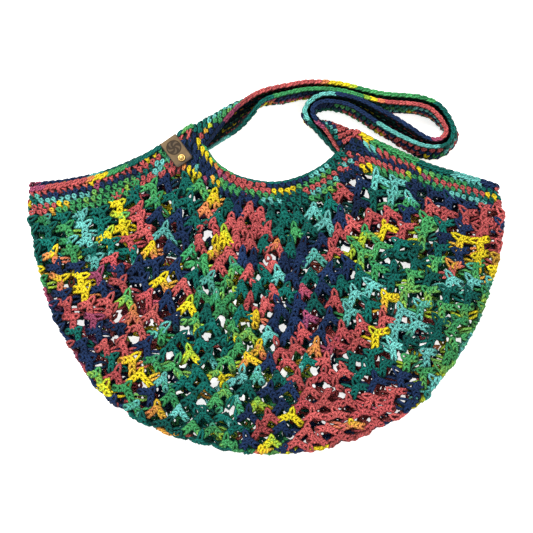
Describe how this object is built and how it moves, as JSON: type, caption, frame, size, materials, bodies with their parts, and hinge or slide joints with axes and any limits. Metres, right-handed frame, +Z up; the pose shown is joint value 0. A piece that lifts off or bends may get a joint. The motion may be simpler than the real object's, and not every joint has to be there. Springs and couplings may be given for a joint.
{
  "type": "mesh market bag",
  "caption": "Crocheted mesh market bag lying flat: half-moon net pouch, dipped rim band, folded shoulder strap looped above the mouth and a riveted leather label.",
  "frame": {"origin": "bottom centre of the bounding box, on the surface that the bag lies on", "axes": "+X along the bag's width, +Y from the rounded foot to the strap, +Z up out of the surface"},
  "size_m": [0.4583, 0.3537, 0.0255],
  "materials": {
    "cotton_net": "matt crocheted cotton yarn, variegated",
    "cotton_band": "matt dense single crochet, variegated",
    "cotton_strap": "matt dense single crochet, variegated",
    "leather": "smooth tan leather, slightly worn",
    "brass": "aged polished brass"
  },
  "bodies": {
    "root": {"net_pouch": "cotton_net", "rim_band": "cotton_band", "strap": "cotton_strap", "leather_label": "leather", "label_rivet": "brass"}
  },
  "joints": []
}
